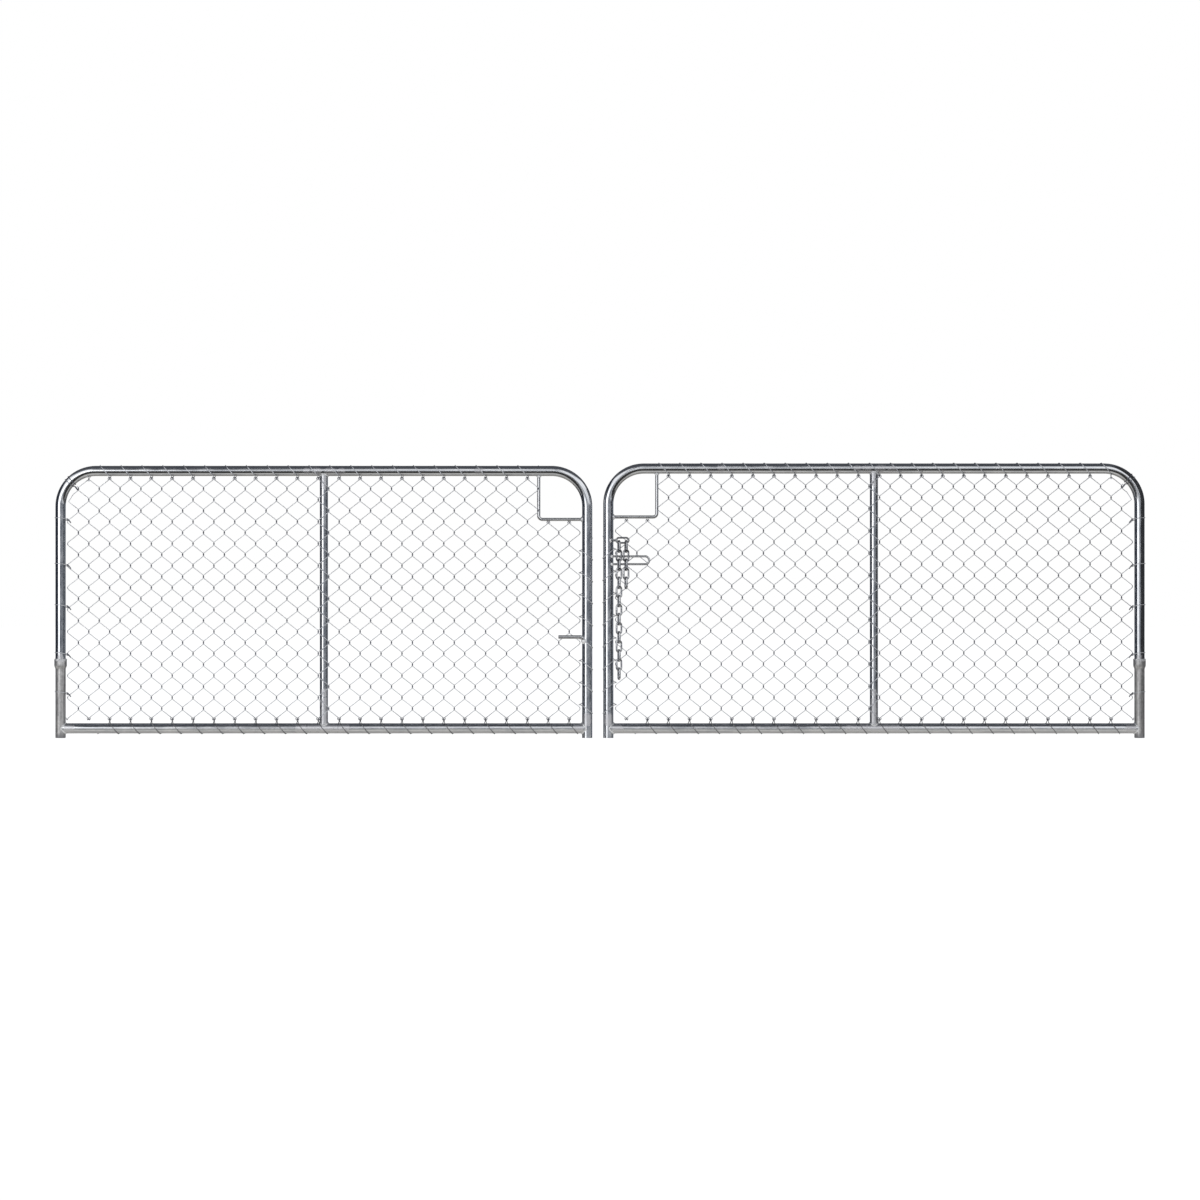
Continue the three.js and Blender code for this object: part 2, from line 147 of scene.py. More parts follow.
dark_side = sky_ramp("Z", [(-1.0, GROUND), (-0.5, DARK_SIDE), (1.0, DARK_SIDE)])
far_left = sky_ramp("X", [(-0.82, ALL), (-0.70, NONE)])
front_sky = sky_mix(slate_part.outputs["Result"], sky_mix(openings, shaded_sky, open_sky), SLATE)
sky = sky_mix(far_left, sky_mix(behind, front_sky, dark_back), dark_side)
reflected = yard_nodes.new("ShaderNodeBackground")
reflected.inputs["Strength"].default_value = 1.25
yard_links.new(sky, reflected.inputs["Color"])
backdrop = yard_nodes.new("ShaderNodeBackground")
backdrop.inputs["Color"].default_value = (1, 1, 1, 1)
eye = yard_nodes.new("ShaderNodeLightPath")
either = yard_nodes.new("ShaderNodeMixShader")
yard_links.new(eye.outputs["Is Camera Ray"], either.inputs[0])
yard_links.new(reflected.outputs[0], either.inputs[1])
yard_links.new(backdrop.outputs[0], either.inputs[2])
yard_out = yard_nodes.new("ShaderNodeOutputWorld")
yard_links.new(either.outputs[0], yard_out.inputs["Surface"])

soft_lamp = bpy.data.lights.new("soft_lamp", "AREA")
soft_lamp.shape = "RECTANGLE"
soft_lamp.size, soft_lamp.size_y = 3.2, 2.4
soft_lamp.energy = 34.0
lamp = bpy.data.objects.new("soft_lamp", soft_lamp)
lamp.location = (middle[0] - 3.6, -4.9, 1.3)
lamp.rotation_euler = (Vector(middle) - lamp.location).to_track_quat("-Z", "Z").to_euler()
lamp.visible_camera = False
bpy.context.collection.objects.link(lamp)

FLOOR_DROP, FLOOR_REACH = 0.09, 60
floor_mesh = bpy.data.meshes.new("floor")
floor_corners = [(x * FLOOR_REACH, y * FLOOR_REACH) for x, y in ((-1, -1), (1, -1), (1, 1), (-1, 1))]
floor_mesh.from_pydata([(x, y, -FLOOR_DROP) for x, y in floor_corners], [], [(0, 1, 2, 3)])
floor_white = bpy.data.materials.new("floor_white")
floor_white.use_nodes = True
floor_shader = floor_white.node_tree.nodes["Principled BSDF"]
floor_shader.inputs["Base Color"].default_value = (0.5, 0.5, 0.49, 1)
floor_shader.inputs["Roughness"].default_value = 0.9
floor_shader.inputs["Emission Color"].default_value = (1, 1, 1, 1)
floor_shader.inputs["Emission Strength"].default_value = 0.91
floor_mesh.materials.append(floor_white)
floor = bpy.data.objects.new("floor", floor_mesh)
floor.visible_glossy = False
bpy.context.collection.objects.link(floor)


def studio_card(name, corners, colour):
    """A flat glowing card that nothing shows but the zinc, which reflects it."""
    flat = bpy.data.meshes.new(name)
    flat.from_pydata(corners, [], [(0, 1, 2, 3)])
    paint = bpy.data.materials.new(name)
    paint.use_nodes = True
    shader = paint.node_tree.nodes["Principled BSDF"]
    shader.inputs["Base Color"].default_value = (0, 0, 0, 1)
    shader.inputs["Specular IOR Level"].default_value = 0.0
    shader.inputs["Emission Color"].default_value = (*colour, 1)
    shader.inputs["Emission Strength"].default_value = 1.0
    flat.materials.append(paint)
    card = bpy.data.objects.new(name, flat)
    card.visible_camera = card.visible_diffuse = card.visible_shadow = False
    bpy.context.collection.objects.link(card)


low_x, high_x = cad_box[0][0], cad_box[1][0]
card_z = -FLOOR_DROP + 0.002
for name, front, back, colour in (
    ("apron", -0.40, -0.07, (0.60, 0.59, 0.565)), ("sill", -0.07, 0.25, (0.47, 0.455, 0.43)),
):
    studio_card(name, [
        (low_x - 1, front, card_z), (high_x + 1, front, card_z),
        (high_x + 1, back, card_z), (low_x - 1, back, card_z),
    ], colour)
wall_x = high_x + 0.35
studio_card("dark_wall", [
    (wall_x, -1.0, -FLOOR_DROP), (wall_x, 0.3, -FLOOR_DROP), (wall_x, 0.3, 2.0), (wall_x, -1.0, 2.0),
], (0.030, 0.031, 0.034))


# ---------------------------------------------------------------------------------------------------
# Hinge pins: a turned steel pin stands under each hinge stile and fits its open foot. The post carries
# it. It is bare steel, worn bright in rings where the foot turns on it.
# ---------------------------------------------------------------------------------------------------
def blend_colours(tree, share, first, second):
    """One colour over another, by a share from 0 to 1."""
    mix = tree.nodes.new("ShaderNodeMix")
    mix.data_type = "RGBA"
    tree.links.new(share, mix.inputs["Factor"])
    for name, colour in (("A", first), ("B", second)):
        if isinstance(colour, tuple):
            mix.inputs[name].default_value = (*colour, 1)
        else:
            tree.links.new(colour, mix.inputs[name])
    return mix.outputs["Result"]


def spread(tree, value, low, high, to_low=0.0, to_high=1.0):
    """A noise value stretched to another span and held inside it."""
    span = tree.nodes.new("ShaderNodeMapRange")
    span.inputs["From Min"].default_value = low
    span.inputs["From Max"].default_value = high
    span.inputs["To Min"].default_value = to_low
    span.inputs["To Max"].default_value = to_high
    tree.links.new(value, span.inputs["Value"])
    return span.outputs[0]


def clouds(tree, place, stretch, detail=4.0, roughness=0.55):
    """Cloudy noise, with its own number of cells a metre along each axis."""
    size = tree.nodes.new("ShaderNodeMapping")
    size.inputs["Scale"].default_value = stretch
    tree.links.new(place, size.inputs["Vector"])
    cloud = tree.nodes.new("ShaderNodeTexNoise")
    cloud.inputs["Scale"].default_value = 1.0
    cloud.inputs["Detail"].default_value = detail
    cloud.inputs["Roughness"].default_value = roughness
    tree.links.new(size.outputs[0], cloud.inputs["Vector"])
    return cloud.outputs[0]


def raise_grain(tree, value, depth):
    """Relief of that depth in metres, from a value between 0 and 1."""
    relief = tree.nodes.new("ShaderNodeBump")
    relief.inputs["Strength"].default_value = 1.0
    relief.inputs["Distance"].default_value = depth
    tree.links.new(value, relief.inputs["Height"])
    tree.links.new(relief.outputs[0], tree.nodes["Principled BSDF"].inputs["Normal"])


worn_steel = bpy.data.materials.new("worn_steel")
worn_steel.use_nodes = True
pin_tree = worn_steel.node_tree
pin_place = pin_tree.nodes.new("ShaderNodeTexCoord").outputs["Object"]
turned_rings = clouds(pin_tree, pin_place, (20, 20, 900), detail=2.0)
pin_shader = pin_tree.nodes["Principled BSDF"]
pin_shader.inputs["Metallic"].default_value = 1.0
DULL_STEEL, BRIGHT_STEEL = (0.30, 0.29, 0.28), (0.56, 0.56, 0.55)
pin_colour = blend_colours(pin_tree, spread(pin_tree, turned_rings, 0.35, 0.65), DULL_STEEL, BRIGHT_STEEL)
pin_tree.links.new(pin_colour, pin_shader.inputs["Base Color"])
pin_tree.links.new(spread(pin_tree, turned_rings, 0.3, 0.7, 0.45, 0.22), pin_shader.inputs["Roughness"])
raise_grain(pin_tree, turned_rings, 0.0001)
for leaf in ("left", "right"):
    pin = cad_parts[f"{leaf}_hinge_pin"]
    for place in pin.material_slots:
        place.material = worn_steel


# ---------------------------------------------------------------------------------------------------
# Bow tubes: one galvanised tube makes the hinge stile, the top rail and the latch stile of each leaf.
# It is drawn cold round two bends, and its hinge end stands in the bell of the foot below.
# ---------------------------------------------------------------------------------------------------
def swept(name, path, radii, sides=24, bore=None, ring=False):
    """A round bar along a path, with a radius at each point. A bore makes it a tube, and a ring has no ends."""
    path = np.array(path, float)
    count = len(path)
    if ring:
        along = np.roll(path, -1, 0) - np.roll(path, 1, 0)
    else:
        along = np.gradient(path, axis=0)
    along /= np.linalg.norm(along, axis=1)[:, None]
    radii = np.broadcast_to(np.array(radii, float), (count,))
    across = np.cross(along[0], (0.0, 1.0, 0.0))
    if np.linalg.norm(across) < 0.3:
        across = np.cross(along[0], (0.0, 0.0, 1.0))
    first = []
    for way in along:
        across = across - way * across.dot(way)
        across = across / np.linalg.norm(across)
        first.append(across)
    first = np.array(first)
    second = np.cross(along, first)
    turn = np.linspace(0, 2 * math.pi, sides, endpoint=False)
    step = np.linalg.norm(np.diff(path, axis=0), axis=1)
    length = np.concatenate([[0.0], np.cumsum(step)])

    def skin(at, radius):
        c, s = np.cos(turn)[None, :, None], np.sin(turn)[None, :, None]
        outward = first[at][:, None, :] * c + second[at][:, None, :] * s
        points = path[at][:, None, :] + radius[:, None, None] * outward
        grain = np.empty_like(points)
        grain[:, :, 0] = radius[:, None] * np.cos(turn)[None, :]
        grain[:, :, 1] = radius[:, None] * np.sin(turn)[None, :]
        grain[:, :, 2] = length[at][:, None]
        return points, grain

    order = np.arange(count)
    points, grain = skin(order, radii)
    if bore is not None:
        back = order[::-1]
        inside, inside_grain = skin(back, np.full(count, float(bore)))
        points, grain = np.concatenate([points, inside]), np.concatenate([grain, inside_grain])
    rings = len(points)
    around = np.arange(sides)
    following = (around + 1) % sides
    faces = []
    closed = ring or bore is not None
    for number in range(rings if closed else rings - 1):
        here, there = number * sides, ((number + 1) % rings) * sides
        faces += np.stack([here + around, here + following, there + following, there + around], 1).tolist()
    if not closed:
        faces.append(around[::-1].tolist())
        faces.append(((rings - 1) * sides + around).tolist())
    mesh = bpy.data.meshes.new(name)
    mesh.from_pydata(points.reshape(-1, 3).tolist(), [], faces)
    mesh.attributes.new("grain", "FLOAT_VECTOR", "POINT").data.foreach_set("vector", grain.reshape(-1))
    mesh.set_sharp_from_angle(angle=math.radians(45))
    piece = bpy.data.objects.new(name, mesh)
    bpy.context.collection.objects.link(piece)
    return piece


def bent_line(corners, radius, steps=14, spacing=0.05):
    """The centre line of a bar bent at its corners, with points no further apart than the spacing."""
    corners = [np.array(corner, float) for corner in corners]
    line = [corners[0]]
    for before, corner, after in zip(corners, corners[1:], corners[2:]):
        arrive, leave = before - corner, after - corner
        arrive, leave = arrive / np.linalg.norm(arrive), leave / np.linalg.norm(leave)
        half = math.acos(max(-1.0, min(1.0, arrive.dot(leave)))) / 2
        centre = corner + (arrive + leave) / np.linalg.norm(arrive + leave) * radius / math.sin(half)
        start = corner + arrive * radius / math.tan(half)
        end = corner + leave * radius / math.tan(half)
        one, two = start - centre, end - centre
        sweep = math.pi - 2 * half
        for share in np.linspace(0, 1, steps + 1):
            arm = one * math.sin((1 - share) * sweep) + two * math.sin(share * sweep)
            line.append(centre + arm / math.sin(sweep))
    line.append(corners[-1])
    filled = [line[0]]
    for point in line[1:]:
        gap = np.linalg.norm(point - filled[-1])
        if gap < 1e-6:
            continue
        pieces = max(1, math.ceil(gap / spacing))
        begin = filled[-1]
        for number in range(1, pieces + 1):
            filled.append(begin + (point - begin) * number / pieces)
    return filled


# The second colour is near-black zinc, mixed in for painted shade at the wire knots and for the darker bottom ends
# of the feet.
PATCH_ZINC, PAINTED_SHADE_AND_DARK_BASE = (0.70, 0.705, 0.73), (0.15, 0.16, 0.19)


def zinc(name, dark, light, roughness, runs=1.0, spangle=0.25, relief=0.00001, patches=(), shade_and_dark_base=None, metallic=1.0):
    """Hot-dip zinc: runs along the piece, cloudy weathering, a spangle of crystals, and brighter patches."""
    finish = bpy.data.materials.new(name)
    finish.use_nodes = True
    tree = finish.node_tree
    grain = tree.nodes.new("ShaderNodeAttribute")
    grain.attribute_name = "grain"
    grain = grain.outputs["Vector"]
    streaks = clouds(tree, grain, (260, 260, 7), detail=5.0, roughness=0.62)
    weather = clouds(tree, grain, (38, 38, 16), detail=5.0, roughness=0.6)
    fine = clouds(tree, grain, (420, 420, 160), detail=3.0)
    crystals = tree.nodes.new("ShaderNodeTexVoronoi")
    crystals.inputs["Scale"].default_value = 150.0
    tree.links.new(grain, crystals.inputs["Vector"])
    facet = tree.nodes.new("ShaderNodeSeparateColor")
    tree.links.new(crystals.outputs["Color"], facet.inputs[0])
    tone = tree.nodes.new("ShaderNodeMath")
    tone.operation = "MULTIPLY_ADD"
    tree.links.new(spread(tree, streaks, 0.35, 0.65), tone.inputs[0])
    tone.inputs[1].default_value = 0.55 * runs
    tree.links.new(spread(tree, weather, 0.3, 0.7, 0.0, 0.45), tone.inputs[2])
    tone_spangled = tree.nodes.new("ShaderNodeMath")
    tone_spangled.operation = "MULTIPLY_ADD"
    tree.links.new(facet.outputs[0], tone_spangled.inputs[0])
    tone_spangled.inputs[1].default_value = spangle
    tree.links.new(tone.outputs[0], tone_spangled.inputs[2])
    colour = blend_colours(tree, tone_spangled.outputs[0], dark, light)
    rough = spread(tree, weather, 0.3, 0.7, roughness[0], roughness[1])
    shader = tree.nodes["Principled BSDF"]
    shader.inputs["Metallic"].default_value = metallic
    if patches:
        place = tree.nodes.new("ShaderNodeTexCoord").outputs["Object"]
        edge = clouds(tree, place, (70, 70, 70), detail=4.0)
        cover = None
        for at, reach in patches:
            away = tree.nodes.new("ShaderNodeVectorMath")
            away.operation = "DISTANCE"
            tree.links.new(place, away.inputs[0])
            away.inputs[1].default_value = at
            ragged = tree.nodes.new("ShaderNodeMath")
            ragged.operation = "MULTIPLY_ADD"
            tree.links.new(edge, ragged.inputs[0])
            ragged.inputs[1].default_value = reach * 1.1
            tree.links.new(away.outputs["Value"], ragged.inputs[2])
            here = spread(tree, ragged.outputs[0], reach * 1.35, reach * 1.65, 1.0, 0.0)
            if cover is None:
                cover = here
            else:
                most = tree.nodes.new("ShaderNodeMath")
                most.operation = "MAXIMUM"
                tree.links.new(cover, most.inputs[0])
                tree.links.new(here, most.inputs[1])
                cover = most.outputs[0]
        colour = blend_colours(tree, cover, colour, PATCH_ZINC)
        rougher = tree.nodes.new("ShaderNodeMath")
        rougher.operation = "MULTIPLY_ADD"
        tree.links.new(cover, rougher.inputs[0])
        rougher.inputs[1].default_value = 0.22
        tree.links.new(rough, rougher.inputs[2])
        rough = rougher.outputs[0]
    # An optional mask attribute mixes in that near-black zinc: painted shade where mesh and tie wires wind round
    # each other, and a darker bottom end on each foot.
    if shade_and_dark_base:
        shade_and_dark_share = tree.nodes.new("ShaderNodeAttribute")
        shade_and_dark_share.attribute_name = shade_and_dark_base
        colour = blend_colours(tree, shade_and_dark_share.outputs["Fac"], colour, PAINTED_SHADE_AND_DARK_BASE)
    tree.links.new(colour, shader.inputs["Base Color"])
    tree.links.new(rough, shader.inputs["Roughness"])
    raise_grain(tree, fine, relief)
    return finish


tube = {}
for leaf in ("left", "right"):
    low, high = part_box(f"{leaf}_bow_tube")
    foot_low, foot_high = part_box(f"{leaf}_hinge_stile_foot")
    radius = (high[1] - low[1]) / 2
    hand = 1 if leaf == "left" else -1
    hinge_x = (foot_low[0] + foot_high[0]) / 2
    latch_x = high[0] - radius if leaf == "left" else low[0] + radius
    tube[leaf] = {
        "hand": hand, "hinge": hinge_x, "latch": latch_x, "radius": radius, "rail": high[2] - radius,
        "span": abs(latch_x - hinge_x), "lip": foot_high[2], "bell": (foot_high[1] - foot_low[1]) / 2,
    }

TUBE_WALL = 0.0032
BEND_RADIUS = 0.117
BELL_DEPTH = 0.020
DARK_ZINC = (0.47, 0.495, 0.53)
LIGHT_ZINC = (0.86, 0.87, 0.885)
for leaf, its in tube.items():
    low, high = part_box(f"{leaf}_mid_stay")
    its["stay"] = (low[0] + high[0]) / 2
    its["stay_radius"] = (high[1] - low[1]) / 2
    front = -its["radius"]
    patches = [((its["stay"] + shift, front * 0.9, its["rail"] + lift), reach) for shift, lift, reach in (
        (-0.055, 0.001, 0.013), (-0.024, -0.002, 0.018), (0.021, 0.0, 0.018), (0.058, -0.003, 0.015),
    )]
    patches.append(((its["hinge"] + its["hand"] * 1.382, front, its["rail"] + 0.003), 0.015))
    patches.append(((its["latch"], front, 0.060), 0.022))
    patches.append(((its["hinge"], front, its["lip"] + 0.006), 0.013))
    bow_zinc = zinc(f"{leaf}_bow_zinc", DARK_ZINC, LIGHT_ZINC, (0.1, 0.2), spangle=0.12, patches=patches)
    line = bent_line([
        (its["hinge"], 0, its["lip"] - BELL_DEPTH + 0.001),
        (its["hinge"], 0, its["rail"]),
        (its["latch"], 0, its["rail"]),
        (its["latch"], 0, 0),
    ], BEND_RADIUS, steps=28)
    bow = swept(f"{leaf}_bow", line, its["radius"], sides=40, bore=its["radius"] - TUBE_WALL)
    bow.data.materials.append(bow_zinc)
    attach(bow, f"{leaf}_leaf")
    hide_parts(f"{leaf}_bow_tube")


# ---------------------------------------------------------------------------------------------------
# Feet: the bottom length of each hinge stile is a separate tube, swelled to a bell at its top. The bow
# is welded into the bell, and the heat has left this length matt and mottled.
# ---------------------------------------------------------------------------------------------------
def weld_bead(name, path, size, seed):
    """A run of weld metal round a closed path, in overlapping scales."""
    path = np.array(path, float)
    steps = np.linalg.norm(np.roll(path, -1, 0) - path, axis=1)
    place = np.concatenate([[0.0], np.cumsum(steps)[:-1]])
    scale_pitch = size * 1.3
    ripple = np.abs(np.sin(math.pi * place / scale_pitch + seed))
    lumps = np.array([noise.noise(Vector((s / (size * 2.5), seed * 7.3, 0.0))) for s in place])
    radii = size * (0.78 + 0.22 * ripple + 0.3 * lumps)
    return swept(name, path, radii, sides=10, ring=True)


def flat_circle(x, z, radius, count):
    """A level ring of points round an upright tube."""
    return [
        (x + radius * math.cos(a), radius * math.sin(a), z)
        for a in np.linspace(0, 2 * math.pi, count, endpoint=False)
    ]


weld_silver = zinc(
    "weld_silver", (0.66, 0.67, 0.68), (0.93, 0.935, 0.94), (0.25, 0.42), runs=0.5, relief=0.0001, metallic=0.65
)
SWELL_DROP, SWELL_LENGTH = 0.031, 0.012
for leaf, its in tube.items():
    radius, bell, lip = its["radius"], its["bell"], its["lip"]
    swell = [(0.0, radius - 0.0008), (0.0012, radius), (lip - SWELL_DROP, radius)]
    for share in np.linspace(0, 1, 9)[1:]:
        eased = 3 * share**2 - 2 * share**3
        swell.append((lip - SWELL_DROP + SWELL_LENGTH * share, radius + (bell - radius) * eased))
    swell += [(lip - 0.0015, bell), (lip - 0.0004, bell - 0.0007), (lip, bell - 0.0016)]
    straight = [(z, radius) for z in np.arange(0.02, lip - 0.035, 0.02)]
    shape = sorted(swell + straight)
    foot = swept(
        f"{leaf}_foot", [(its["hinge"], 0, z) for z, r in shape], [r for z, r in shape],
        sides=40, bore=radius - TUBE_WALL,
    )
    # Each foot is darkened towards its bottom end, most at the end and fading out 22 mm up.
    darker_at_foot_end = [max(0.0, 0.75 - point.co.z / 0.03) for point in foot.data.vertices]
    foot.data.attributes.new("darker_at_foot_end", "FLOAT", "POINT").data.foreach_set("value", darker_at_foot_end)
    splashes = [
        ((its["hinge"] + shift, side * bell, lip + 0.002), 0.009)
        for shift in (-0.011, 0.0, 0.011) for side in (-1, 1)
    ]
    foot_zinc = zinc(
        f"{leaf}_foot_zinc", (0.15, 0.15, 0.155), (0.74, 0.735, 0.73), (0.34, 0.5), runs=1.0, spangle=0.2,
        relief=0.0001, patches=splashes, shade_and_dark_base="darker_at_foot_end", metallic=0.85,
    )
    foot.data.materials.append(foot_zinc)
    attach(foot, f"{leaf}_leaf")
    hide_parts(f"{leaf}_hinge_stile_foot")
    lip_weld = weld_bead(f"{leaf}_lip_weld", flat_circle(its["hinge"], lip, radius + 0.0009, 96), 0.0034, 1.0)
    lip_weld.data.materials.append(weld_silver)
    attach(lip_weld, f"{leaf}_leaf")


# ---------------------------------------------------------------------------------------------------
# Bottom rails and mid stays: straight galvanised tubes, coped to fit the tubes that they meet and
# welded all round. The stay is a size lighter, and its welds are brushed with zinc paint.
# ---------------------------------------------------------------------------------------------------
def coped_tube(name, start, end, radius, wall, start_radius, end_radius, sides=40):
    """A straight tube whose two ends are cut to lie on the round tubes across them."""
    start, end = np.array(start, float), np.array(end, float)
    way = (end - start) / np.linalg.norm(end - start)
    piece = swept(name, bent_line([start, end], 1.0, spacing=0.05), radius, sides=sides, bore=radius - wall)
    flat = np.empty(len(piece.data.vertices) * 3)
    piece.data.vertices.foreach_get("co", flat)
    points = flat.reshape(-1, 3)
    reach = (points - start).dot(way)
    total = np.linalg.norm(end - start)
    for at, met, sign in ((0.0, start_radius, 1), (total, end_radius, -1)):
        near = np.abs(reach - at) < 1e-5
        saddle = np.sqrt(np.maximum(met**2 - points[near, 1] ** 2, 0))
        points[near] += way * sign * saddle[:, None]
    piece.data.vertices.foreach_set("co", points.reshape(-1))
    return piece


def saddle_ring(centre, way, radius, met, count=72):
    """The line where a tube of one radius meets a tube of another at right angles, way being along the first."""
    way = np.array(way, float)
    side = np.cross(way, (0.0, 1.0, 0.0))
    ring = []
    for a in np.linspace(0, 2 * math.pi, count, endpoint=False):
        depth = radius * math.sin(a)
        out = math.sqrt(max(met**2 - depth**2, 0)) + 0.0006
        ring.append(np.array(centre) + way * out + side * radius * math.cos(a) + np.array((0, depth, 0)))
    return ring


STAY_WALL = 0.0026
for leaf, its in tube.items():
    low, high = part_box(f"{leaf}_bottom_rail")
    its["bottom"] = (low[2] + high[2]) / 2
    radius, stay_radius = its["radius"], its["stay_radius"]
    corners = [
        ((its["hinge"] + its["hand"] * 0.03, -radius, its["bottom"]), 0.02),
        ((its["latch"] - its["hand"] * 0.03, -radius, its["bottom"]), 0.02),
    ]
    for shift in (-0.075, -0.035, 0.0, 0.03, 0.065):
        corners.append(((its["stay"] + shift, -radius, its["bottom"] + 0.004), 0.021))
    rail_zinc = zinc(f"{leaf}_rail_zinc", DARK_ZINC, LIGHT_ZINC, (0.1, 0.2), spangle=0.12, patches=corners)
    rail = coped_tube(
        f"{leaf}_bottom", (its["hinge"], 0, its["bottom"]), (its["latch"], 0, its["bottom"]), radius, TUBE_WALL,
        radius, radius,
    )
    rail.data.materials.append(rail_zinc)
    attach(rail, f"{leaf}_leaf")
    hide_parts(f"{leaf}_bottom_rail")
    ends = [
        ((its["stay"], -stay_radius, its["bottom"] + lift), reach)
        for lift, reach in ((0.028, 0.017), (0.055, 0.019), (0.085, 0.018), (0.118, 0.014))
    ]
    ends += [((its["stay"], -stay_radius, its["rail"] - drop), 0.015) for drop in (0.024, 0.046)]
    stay_zinc = zinc(f"{leaf}_stay_zinc", DARK_ZINC, LIGHT_ZINC, (0.1, 0.2), runs=1.2, spangle=0.12, patches=ends)
    stay = coped_tube(
        f"{leaf}_stay", (its["stay"], 0, its["bottom"]), (its["stay"], 0, its["rail"]), stay_radius, STAY_WALL,
        radius, radius,
    )
    stay.data.materials.append(stay_zinc)
    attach(stay, f"{leaf}_leaf")
    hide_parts(f"{leaf}_mid_stay")
    welds = {
        "stay_top_weld": ((its["stay"], 0, its["rail"]), (0, 0, -1), stay_radius, 0.0026),
        "stay_foot_weld": ((its["stay"], 0, its["bottom"]), (0, 0, 1), stay_radius, 0.0032),
        "hinge_corner_weld": ((its["hinge"], 0, its["bottom"]), (its["hand"], 0, 0), radius * 0.985, 0.0028),
        "latch_corner_weld": ((its["latch"], 0, its["bottom"]), (-its["hand"], 0, 0), radius * 0.985, 0.0030),
    }
    for number, (weld, (centre, way, size, bead)) in enumerate(welds.items()):
        piece = weld_bead(f"{leaf}_{weld}", saddle_ring(centre, way, size, radius), bead, 2.0 + number)
        piece.data.materials.append(weld_silver)
        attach(piece, f"{leaf}_leaf")


# ---------------------------------------------------------------------------------------------------
# Hand hole rods: a thin galvanised rod, bent to a right angle, keeps the mesh out of the upper latch
# corner. It is tacked under the top rail and to the latch stile.
# ---------------------------------------------------------------------------------------------------
ROD_BEND = 0.012
rod_zinc = zinc("rod_zinc", (0.42, 0.43, 0.45), (0.78, 0.79, 0.80), (0.16, 0.3), runs=0.8)


def round_blob(name, centre, size, seed):
    """A blob of weld metal, lumpy and a little flattened."""
    ball = bpy.data.meshes.new(name)
    rows, columns = 14, 20
    points, faces = [], []
    for row in range(rows + 1):
        for column in range(columns):
            lat, lon = math.pi * row / rows, 2 * math.pi * column / columns
            way = Vector((math.sin(lat) * math.cos(lon), math.sin(lat) * math.sin(lon), math.cos(lat)))
            swell = 1 + 0.22 * noise.noise(way * 1.6 + Vector((seed, 0, 0)))
            swell += 0.07 * noise.noise(way * 5 + Vector((0, seed, 0)))
            points.append([centre[i] + way[i] * size[i] * swell for i in range(3)])
    for row in range(rows):
        for column in range(columns):
            after = (column + 1) % columns
            above, below = row * columns, (row + 1) * columns
            faces.append([above + column, below + column, below + after, above + after])
    ball.from_pydata(points, [], faces)
    grain = np.array(points, float) - np.array(centre, float)
    ball.attributes.new("grain", "FLOAT_VECTOR", "POINT").data.foreach_set("vector", grain.reshape(-1))
    ball.shade_smooth()
    blob = bpy.data.objects.new(name, ball)
    bpy.context.collection.objects.link(blob)
    return blob


for leaf, its in tube.items():
    low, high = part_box(f"{leaf}_hand_hole_rod")
    rod_radius = (high[1] - low[1]) / 2
    its["rod_x"] = low[0] + rod_radius if leaf == "left" else high[0] - rod_radius
    its["rod_z"] = low[2] + rod_radius
    sink = its["radius"] - 0.002
    line = bent_line([
        (its["rod_x"], 0, its["rail"] - sink),
        (its["rod_x"], 0, its["rod_z"]),
        (its["latch"] - its["hand"] * sink, 0, its["rod_z"]),
    ], ROD_BEND, steps=10, spacing=0.02)
    rod = swept(f"{leaf}_hole_rod", line, rod_radius, sides=20)
    rod.data.materials.append(rod_zinc)
    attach(rod, f"{leaf}_leaf")
    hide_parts(f"{leaf}_hand_hole_rod")
    for number, (x, z, size) in enumerate([
        (its["rod_x"], its["rail"] - its["radius"] - 0.001, (0.0085, 0.0075, 0.0045)),
        (its["latch"] - its["hand"] * (its["radius"] + 0.001), its["rod_z"], (0.0045, 0.0075, 0.0085)),
    ]):
        tack = round_blob(f"{leaf}_rod_tack_{number + 1}", (x, 0, z), size, 3.0 + number)
        tack.data.materials.append(weld_silver)
        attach(tack, f"{leaf}_leaf")

# ---------------------------------------------------------------------------------------------------
# Chain mesh: galvanised wires, each bent to and fro as a flat spiral and hooked into the next, with the
# ends knuckled over at the top and bottom. It hangs in front of the mid stay, which holds it forward.
# ---------------------------------------------------------------------------------------------------
MESH_WIRE = 0.00125
HALF_DIAMOND = 0.0345
HALF_HEIGHT = 0.0365
# The mask made below paints shade on the wires at their knots.
wire_zinc = zinc(
    "wire_zinc", (0.60, 0.62, 0.66), (0.88, 0.90, 0.95), (0.3, 0.42), runs=0.4, shade_and_dark_base="knot_shade", metallic=0.85
)
# Between two corners of a wire: how far along and how far across it has got, and its share of the depth.
WIRE_SHAPE = ((0.08, 0.012, 0.75), (0.17, 0.085, 1.0), (0.5, 0.5, 1.0), (0.83, 0.915, 1.0), (0.92, 0.988, 0.75))
# The knuckle past the last corner: how far sideways, how far beyond, and how far forward.
KNUCKLE = ((0.0014, 0.0022, -0.0012), (0.0032, -0.0006, -0.0020), (0.0040, -0.006, -0.0016))


